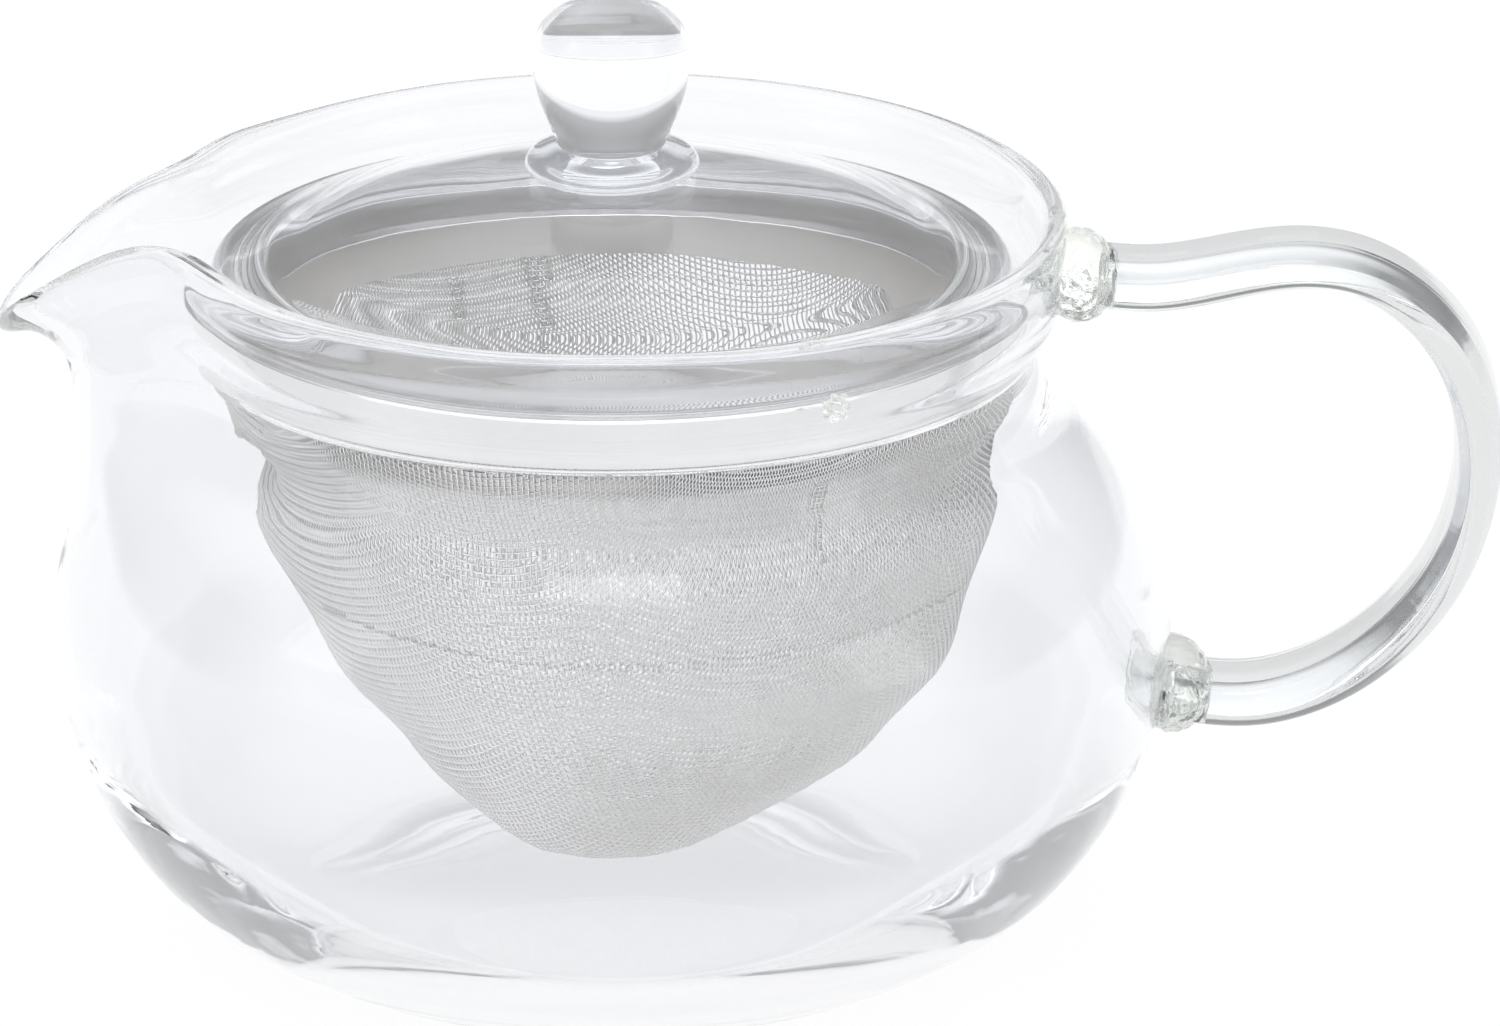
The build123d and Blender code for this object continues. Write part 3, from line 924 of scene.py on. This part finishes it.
def makeWires(name, middle, out, beside, good, keep, axis, radius):
    sides = cloth["sides"]
    nextGood = np.roll(good, -1, axis=axis) & good
    last = [slice(None), slice(None)]
    last[axis] = -1
    nextGood[tuple(last)] = False
    draws = nextGood & keep          # a wire link starts here
    linkEnd = np.roll(draws, 1, axis=axis)
    used = draws | linkEnd
    number = np.full(good.shape, -1)
    number[used] = np.arange(used.sum())
    angles = 2 * math.pi * np.arange(sides) / sides
    outwards = np.cos(angles)[None, :, None] * out[used][:, None]
    sideways = np.sin(angles)[None, :, None] * beside[used][:, None]
    ring = middle[used][:, None] + radius * (outwards + sideways)
    verts = ring.reshape(-1, 3) * mm
    here = number[draws]
    there = np.roll(number, -1, axis=axis)[draws]
    faces = []
    for k in range(sides):
        n = (k + 1) % sides
        faces.append(np.stack([here * sides + k, here * sides + n,
                               there * sides + n, there * sides + k], axis=1))
    quads = np.concatenate(faces)
    starts = number[draws & ~linkEnd]
    ends = number[linkEnd & ~draws]
    caps = np.concatenate([np.stack([starts * sides + k for k in range(sides)], axis=1),
                           np.stack([ends * sides + k for k in reversed(range(sides))], axis=1)])
    meshObject("basket_" + name + "_wires", verts, quads.tolist() + caps.tolist(), wireSteel,
               "infuser", ["mesh_basket"])


wirePieces()


# floor, lamps and air around the pot
studio = dict(
    floorSize=5.0,
    floorPlace=(0, 0.6, -0.0001),
    floorGlow=0.95,          # keeps the floor white right up to the glass
    floorColor=(0.06, 0.06, 0.06),
    floorRoughness=0.9,
    floorShine=0.1,
    # brightness of the air from straight down to straight up
    air=[(0.0, 1.0), (0.50, 0.95), (0.52, 0.50), (0.58, 0.34), (0.72, 0.36), (0.84, 1.1),
         (1.0, 1.5)],
    frontAir=1.45,           # the room behind the camera is brighter than the wall behind the pot
    frontFade=(-0.40, 0.06),
    airTint=(0.97, 0.985, 1.0),
    # each lamp is three: size and share of the power, from the edge inwards
    softEdge=[(1.15, 0.35), (0.95, 0.35), (0.72, 0.30)],
    lampAim=(0, 0, 0.05),
    top=dict(size=(0.4, 0.34), place=(0.0, -0.2, 1.35), power=2.2),
    left=dict(size=(0.35, 0.55), place=(-1.1, -0.5, 0.75), power=1.5),
    right=dict(size=(0.32, 0.5), place=(1.1, -0.6, 0.6), power=1.4),
)


def makeFloor():
    bpy.ops.mesh.primitive_plane_add(size=studio["floorSize"], location=studio["floorPlace"])
    floor = bpy.context.object
    floor.name = "studio_floor"
    mat = bpy.data.materials.new("floorPaper")
    mat.use_nodes = True
    shader = mat.node_tree.nodes["Principled BSDF"]
    shader.inputs["Base Color"].default_value = (*studio["floorColor"], 1)
    shader.inputs["Roughness"].default_value = studio["floorRoughness"]
    shader.inputs["Specular IOR Level"].default_value = studio["floorShine"]
    shader.inputs["Emission Color"].default_value = (1, 1, 1, 1)
    shader.inputs["Emission Strength"].default_value = studio["floorGlow"]
    floor.data.materials.append(mat)


def facing(place, aim):
    return (Vector(aim) - Vector(place)).to_track_quat("-Z", "Y").to_euler()


def softbox(name, look, spread, share):
    lamp = bpy.data.lights.new(name, "AREA")
    lamp.shape = "RECTANGLE"
    lamp.size, lamp.size_y = (side * spread for side in look["size"])
    lamp.energy = look["power"] * share
    obj = bpy.data.objects.new(name, lamp)
    bpy.context.scene.collection.objects.link(obj)
    obj.location = look["place"]
    obj.rotation_euler = facing(obj.location, studio["lampAim"])


def makeAir(world):
    # a wall of air by height, mixed with the even, brighter room in front
    world.use_nodes = True
    tree = world.node_tree
    link = tree.links.new
    place = addNode(tree, "ShaderNodeTexCoord")
    parts = addNode(tree, "ShaderNodeSeparateXYZ")
    # height runs from -1 to 1, the ramp from 0 to 1
    half = addNode(tree, "ShaderNodeMath", operation="MULTIPLY_ADD")
    half.inputs[1].default_value = 0.5
    half.inputs[2].default_value = 0.5
    ramp = addNode(tree, "ShaderNodeValToRGB")
    while len(ramp.color_ramp.elements) < len(studio["air"]):
        ramp.color_ramp.elements.new(0.5)
    for stop, (at, level) in zip(ramp.color_ramp.elements, studio["air"]):
        stop.position = at
        stop.color = tuple(level * c for c in studio["airTint"]) + (1,)
    link(place.outputs["Generated"], parts.inputs["Vector"])
    link(parts.outputs["Z"], half.inputs[0])
    link(half.outputs[0], ramp.inputs["Fac"])
    fade = addNode(tree, "ShaderNodeMapRange")
    for end, value in zip(("From Min", "From Max"), studio["frontFade"]):
        fade.inputs[end].default_value = value
    front = addNode(tree, "ShaderNodeMix", data_type="RGBA")
    frontColor = tuple(studio["frontAir"] * c for c in studio["airTint"])
    front.inputs["A"].default_value = (*frontColor, 1)
    link(parts.outputs["Y"], fade.inputs["Value"])
    link(fade.outputs["Result"], front.inputs["Factor"])
    link(ramp.outputs["Color"], front.inputs["B"])
    link(front.outputs["Result"], tree.nodes["Background"].inputs["Color"])


makeFloor()
for boxName in ("top", "left", "right"):
    # a cloth softbox is brightest in its middle
    for ring, (spread, share) in enumerate(studio["softEdge"]):
        softbox("softbox_" + boxName + str(ring), studio[boxName], spread, share)

scene = bpy.context.scene
scene.world = bpy.data.worlds.new("studioAir")
makeAir(scene.world)
scene.view_settings.view_transform = "Standard"
# light runs a long way inside the glass wall
light = dict(longRun=128, diffuse=3, transparent=8)
scene.cycles.max_bounces = light["longRun"]
scene.cycles.transmission_bounces = light["longRun"]
scene.cycles.glossy_bounces = light["longRun"]
scene.cycles.diffuse_bounces = light["diffuse"]
scene.cycles.transparent_max_bounces = light["transparent"]

camera = dict(aim=(0.0147, 0.0032, 0.0448), place=(0.0147, -1.361, 0.536), lens=324.0, sensor=36.0,
              clip=(0.05, 20))
lensData = bpy.data.cameras.new("camera")
lensData.lens = camera["lens"]
lensData.sensor_width = camera["sensor"]
lensData.clip_start, lensData.clip_end = camera["clip"]
cameraObject = bpy.data.objects.new("camera", lensData)
scene.collection.objects.link(cameraObject)
cameraObject.location = camera["place"]
cameraObject.rotation_euler = facing(cameraObject.location, camera["aim"])
scene.camera = cameraObject
print("studio ready")
